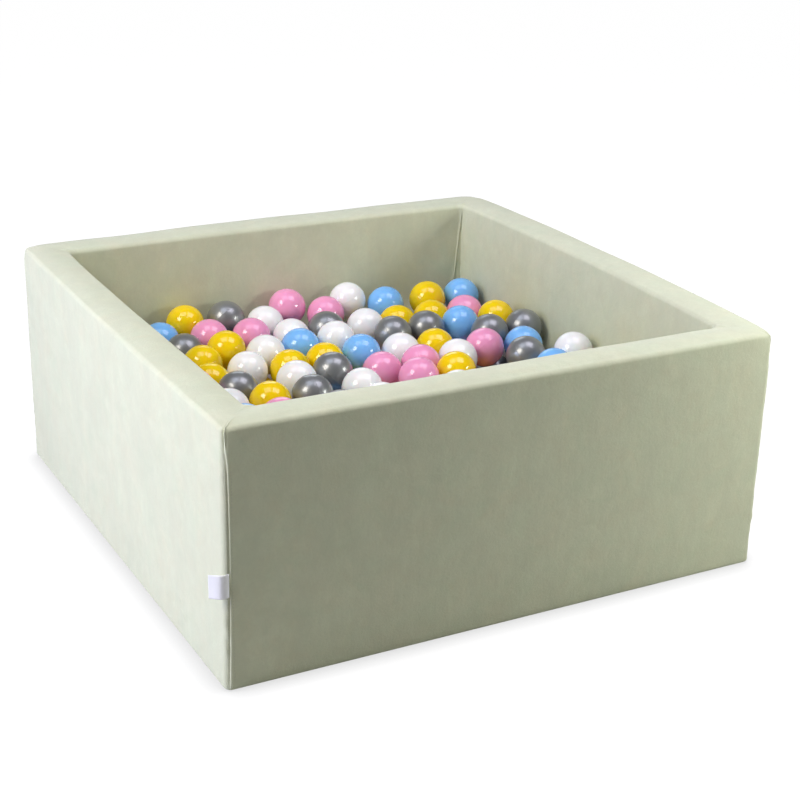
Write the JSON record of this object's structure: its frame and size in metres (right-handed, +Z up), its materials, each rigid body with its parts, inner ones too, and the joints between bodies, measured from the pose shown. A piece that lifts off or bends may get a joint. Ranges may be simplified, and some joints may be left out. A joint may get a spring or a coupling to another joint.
{
  "type": "ball pit",
  "caption": "Square soft foam ball pit in a fitted velvet cover with a zip and a sewn tab, filled with glossy plastic balls.",
  "frame": {"origin": "centre of the underside, on the floor", "axes": "+Z up; the front wall faces -Y and the left wall faces -X, and the sewn tab is at the corner between them; the zip is at the foot of the back wall"},
  "size_m": [0.9353, 0.9179, 0.391],
  "materials": {
    "velvet": "matte",
    "lining": "matte",
    "foam": "matte",
    "tab": "matte",
    "zip_tape": "matte",
    "zip_chain": "satin",
    "zip_metal": "satin",
    "ball_white": "gloss",
    "ball_pink": "gloss",
    "ball_yellow": "gloss",
    "ball_blue": "gloss",
    "ball_silver": "satin"
  },
  "bodies": {
    "pit": {"ball_bed": "ball_white", "cover_back": "velvet", "cover_floor": "velvet", "cover_front": "velvet", "cover_left": "velvet", "cover_right": "velvet", "cover_underside": "lining", "foam_base": "foam", "foam_wall_back": "foam", "foam_wall_front": "foam", "foam_wall_left": "foam", "foam_wall_right": "foam", "zip_tape_lower": "zip_tape", "zip_tape_upper": "zip_tape", "zip_teeth_lower": "zip_chain", "zip_teeth_upper": "zip_chain"},
    "slider": {"zip_slider": "zip_metal"},
    "pull": {"zip_pull": "zip_metal"},
    "tab": {"sewn_tab": "tab"},
    "ball_blue_01_body": {"ball_blue_01": "ball_blue"},
    "ball_blue_02_body": {"ball_blue_02": "ball_blue"},
    "ball_blue_03_body": {"ball_blue_03": "ball_blue"},
    "ball_blue_04_body": {"ball_blue_04": "ball_blue"},
    "ball_pink_01_body": {"ball_pink_01": "ball_pink"},
    "ball_pink_02_body": {"ball_pink_02": "ball_pink"},
    "ball_pink_03_body": {"ball_pink_03": "ball_pink"},
    "ball_pink_04_body": {"ball_pink_04": "ball_pink"},
    "ball_pink_05_body": {"ball_pink_05": "ball_pink"},
    "ball_pink_06_body": {"ball_pink_06": "ball_pink"},
    "ball_pink_07_body": {"ball_pink_07": "ball_pink"},
    "ball_pink_08_body": {"ball_pink_08": "ball_pink"},
    "ball_pink_09_body": {"ball_pink_09": "ball_pink"},
    "ball_pink_10_body": {"ball_pink_10": "ball_pink"},
    "ball_silver_01_body": {"ball_silver_01": "ball_silver"},
    "ball_silver_02_body": {"ball_silver_02": "ball_silver"},
    "ball_silver_03_body": {"ball_silver_03": "ball_silver"},
    "ball_silver_04_body": {"ball_silver_04": "ball_silver"},
    "ball_silver_05_body": {"ball_silver_05": "ball_silver"},
    "ball_silver_06_body": {"ball_silver_06": "ball_silver"},
    "ball_silver_07_body": {"ball_silver_07": "ball_silver"},
    "ball_silver_08_body": {"ball_silver_08": "ball_silver"},
    "ball_white_01_body": {"ball_white_01": "ball_white"},
    "ball_white_02_body": {"ball_white_02": "ball_white"},
    "ball_white_03_body": {"ball_white_03": "ball_white"},
    "ball_white_04_body": {"ball_white_04": "ball_white"},
    "ball_white_05_body": {"ball_white_05": "ball_white"},
    "ball_white_06_body": {"ball_white_06": "ball_white"},
    "ball_white_07_body": {"ball_white_07": "ball_white"},
    "ball_white_08_body": {"ball_white_08": "ball_white"},
    "ball_white_09_body": {"ball_white_09": "ball_white"},
    "ball_white_10_body": {"ball_white_10": "ball_white"},
    "ball_white_11_body": {"ball_white_11": "ball_white"},
    "ball_yellow_01_body": {"ball_yellow_01": "ball_yellow"},
    "ball_yellow_02_body": {"ball_yellow_02": "ball_yellow"},
    "ball_yellow_03_body": {"ball_yellow_03": "ball_yellow"},
    "ball_yellow_04_body": {"ball_yellow_04": "ball_yellow"},
    "ball_yellow_05_body": {"ball_yellow_05": "ball_yellow"},
    "ball_yellow_06_body": {"ball_yellow_06": "ball_yellow"},
    "ball_yellow_07_body": {"ball_yellow_07": "ball_yellow"}
  },
  "joints": [
    {"name": "zip_slide", "type": "slide", "parent": "pit", "child": "slider", "axis": [1, 0, 0], "range_m": [0, 0.699]},
    {"name": "pull_swing", "type": "hinge", "parent": "slider", "child": "pull", "pos_m": [-0.3495, 0.45264, 0.02495], "axis": [0, 0, 1], "range_deg": [0, 170]},
    {"name": "tab_swing", "type": "hinge", "parent": "pit", "child": "tab", "pos_m": [-0.4431, -0.45028, 0.163], "axis": [0, 0, 1], "range_deg": [-30, 115]},
    {"name": "ball_blue_01_lift", "type": "slide", "parent": "pit", "child": "ball_blue_01_body", "axis": [0, 0, 1], "range_m": [0, 0.22]},
    {"name": "ball_blue_02_lift", "type": "slide", "parent": "pit", "child": "ball_blue_02_body", "axis": [0, 0, 1], "range_m": [0, 0.22]},
    {"name": "ball_blue_03_lift", "type": "slide", "parent": "pit", "child": "ball_blue_03_body", "axis": [0, 0, 1], "range_m": [0, 0.22]},
    {"name": "ball_blue_04_lift", "type": "slide", "parent": "pit", "child": "ball_blue_04_body", "axis": [0, 0, 1], "range_m": [0, 0.22]},
    {"name": "ball_pink_01_lift", "type": "slide", "parent": "pit", "child": "ball_pink_01_body", "axis": [0, 0, 1], "range_m": [0, 0.22]},
    {"name": "ball_pink_02_lift", "type": "slide", "parent": "pit", "child": "ball_pink_02_body", "axis": [0, 0, 1], "range_m": [0, 0.22]},
    {"name": "ball_pink_03_lift", "type": "slide", "parent": "pit", "child": "ball_pink_03_body", "axis": [0, 0, 1], "range_m": [0, 0.22]},
    {"name": "ball_pink_04_lift", "type": "slide", "parent": "pit", "child": "ball_pink_04_body", "axis": [0, 0, 1], "range_m": [0, 0.22]},
    {"name": "ball_pink_05_lift", "type": "slide", "parent": "pit", "child": "ball_pink_05_body", "axis": [0, 0, 1], "range_m": [0, 0.22]},
    {"name": "ball_pink_06_lift", "type": "slide", "parent": "pit", "child": "ball_pink_06_body", "axis": [0, 0, 1], "range_m": [0, 0.22]},
    {"name": "ball_pink_07_lift", "type": "slide", "parent": "pit", "child": "ball_pink_07_body", "axis": [0, 0, 1], "range_m": [0, 0.22]},
    {"name": "ball_pink_08_lift", "type": "slide", "parent": "pit", "child": "ball_pink_08_body", "axis": [0, 0, 1], "range_m": [0, 0.22]},
    {"name": "ball_pink_09_lift", "type": "slide", "parent": "pit", "child": "ball_pink_09_body", "axis": [0, 0, 1], "range_m": [0, 0.22]},
    {"name": "ball_pink_10_lift", "type": "slide", "parent": "pit", "child": "ball_pink_10_body", "axis": [0, 0, 1], "range_m": [0, 0.22]},
    {"name": "ball_silver_01_lift", "type": "slide", "parent": "pit", "child": "ball_silver_01_body", "axis": [0, 0, 1], "range_m": [0, 0.22]},
    {"name": "ball_silver_02_lift", "type": "slide", "parent": "pit", "child": "ball_silver_02_body", "axis": [0, 0, 1], "range_m": [0, 0.22]},
    {"name": "ball_silver_03_lift", "type": "slide", "parent": "pit", "child": "ball_silver_03_body", "axis": [0, 0, 1], "range_m": [0, 0.22]},
    {"name": "ball_silver_04_lift", "type": "slide", "parent": "pit", "child": "ball_silver_04_body", "axis": [0, 0, 1], "range_m": [0, 0.22]},
    {"name": "ball_silver_05_lift", "type": "slide", "parent": "pit", "child": "ball_silver_05_body", "axis": [0, 0, 1], "range_m": [0, 0.22]},
    {"name": "ball_silver_06_lift", "type": "slide", "parent": "pit", "child": "ball_silver_06_body", "axis": [0, 0, 1], "range_m": [0, 0.22]},
    {"name": "ball_silver_07_lift", "type": "slide", "parent": "pit", "child": "ball_silver_07_body", "axis": [0, 0, 1], "range_m": [0, 0.22]},
    {"name": "ball_silver_08_lift", "type": "slide", "parent": "pit", "child": "ball_silver_08_body", "axis": [0, 0, 1], "range_m": [0, 0.22]},
    {"name": "ball_white_01_lift", "type": "slide", "parent": "pit", "child": "ball_white_01_body", "axis": [0, 0, 1], "range_m": [0, 0.22]},
    {"name": "ball_white_02_lift", "type": "slide", "parent": "pit", "child": "ball_white_02_body", "axis": [0, 0, 1], "range_m": [0, 0.22]},
    {"name": "ball_white_03_lift", "type": "slide", "parent": "pit", "child": "ball_white_03_body", "axis": [0, 0, 1], "range_m": [0, 0.22]},
    {"name": "ball_white_04_lift", "type": "slide", "parent": "pit", "child": "ball_white_04_body", "axis": [0, 0, 1], "range_m": [0, 0.22]},
    {"name": "ball_white_05_lift", "type": "slide", "parent": "pit", "child": "ball_white_05_body", "axis": [0, 0, 1], "range_m": [0, 0.22]},
    {"name": "ball_white_06_lift", "type": "slide", "parent": "pit", "child": "ball_white_06_body", "axis": [0, 0, 1], "range_m": [0, 0.22]},
    {"name": "ball_white_07_lift", "type": "slide", "parent": "pit", "child": "ball_white_07_body", "axis": [0, 0, 1], "range_m": [0, 0.22]},
    {"name": "ball_white_08_lift", "type": "slide", "parent": "pit", "child": "ball_white_08_body", "axis": [0, 0, 1], "range_m": [0, 0.22]},
    {"name": "ball_white_09_lift", "type": "slide", "parent": "pit", "child": "ball_white_09_body", "axis": [0, 0, 1], "range_m": [0, 0.22]},
    {"name": "ball_white_10_lift", "type": "slide", "parent": "pit", "child": "ball_white_10_body", "axis": [0, 0, 1], "range_m": [0, 0.22]},
    {"name": "ball_white_11_lift", "type": "slide", "parent": "pit", "child": "ball_white_11_body", "axis": [0, 0, 1], "range_m": [0, 0.22]},
    {"name": "ball_yellow_01_lift", "type": "slide", "parent": "pit", "child": "ball_yellow_01_body", "axis": [0, 0, 1], "range_m": [0, 0.22]},
    {"name": "ball_yellow_02_lift", "type": "slide", "parent": "pit", "child": "ball_yellow_02_body", "axis": [0, 0, 1], "range_m": [0, 0.22]},
    {"name": "ball_yellow_03_lift", "type": "slide", "parent": "pit", "child": "ball_yellow_03_body", "axis": [0, 0, 1], "range_m": [0, 0.22]},
    {"name": "ball_yellow_04_lift", "type": "slide", "parent": "pit", "child": "ball_yellow_04_body", "axis": [0, 0, 1], "range_m": [0, 0.22]},
    {"name": "ball_yellow_05_lift", "type": "slide", "parent": "pit", "child": "ball_yellow_05_body", "axis": [0, 0, 1], "range_m": [0, 0.22]},
    {"name": "ball_yellow_06_lift", "type": "slide", "parent": "pit", "child": "ball_yellow_06_body", "axis": [0, 0, 1], "range_m": [0, 0.22]},
    {"name": "ball_yellow_07_lift", "type": "slide", "parent": "pit", "child": "ball_yellow_07_body", "axis": [0, 0, 1], "range_m": [0, 0.22]}
  ]
}
